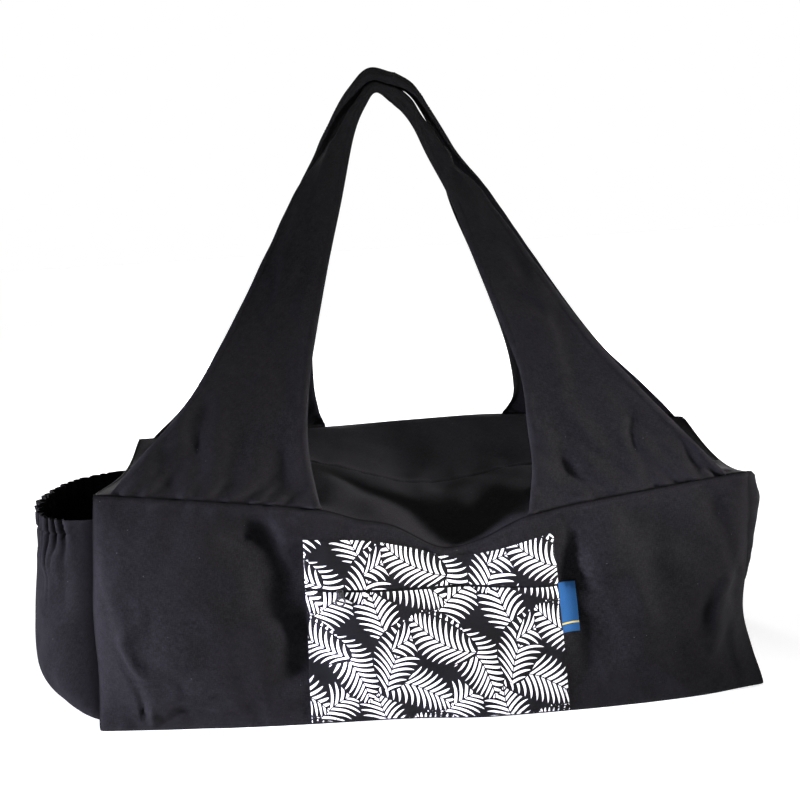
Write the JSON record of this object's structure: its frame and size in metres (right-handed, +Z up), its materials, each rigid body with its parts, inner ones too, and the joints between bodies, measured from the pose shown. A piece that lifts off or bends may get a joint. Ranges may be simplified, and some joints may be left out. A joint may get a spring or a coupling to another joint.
{
  "type": "yoga kit bag",
  "caption": "Long soft kit bag of black cotton canvas with wide shoulder straps that rise to a point, a printed zip pocket on its front and a gathered bottle pocket on one end.",
  "frame": {"origin": "where the straps hang, under the crest of the front strap at the top of the shoulder loop", "axes": "+X along the bag, away from the end with the bottle pocket; +Y from the printed front to the back; +Z up"},
  "size_m": [0.7717, 0.3166, 0.6424],
  "materials": {
    "canvas": "matt black cotton canvas, plain weave",
    "print": "black cotton printed with white sprigs",
    "label": "blue woven tape",
    "zip_metal": "dark enamelled zip metal"
  },
  "bodies": {
    "root": {"front_panel": "canvas", "back_panel": "canvas", "base_panel": "canvas", "end_panel_left": "canvas", "end_panel_right": "canvas", "top_panel_front": "canvas", "top_panel_back": "canvas", "strap_front_left": "canvas", "strap_front_right": "canvas", "strap_back_left": "canvas", "strap_back_right": "canvas", "pocket_panel": "print", "pocket_band": "print", "zip_pull": "zip_metal", "label_tab": "label", "side_pocket": "canvas"}
  },
  "joints": []
}
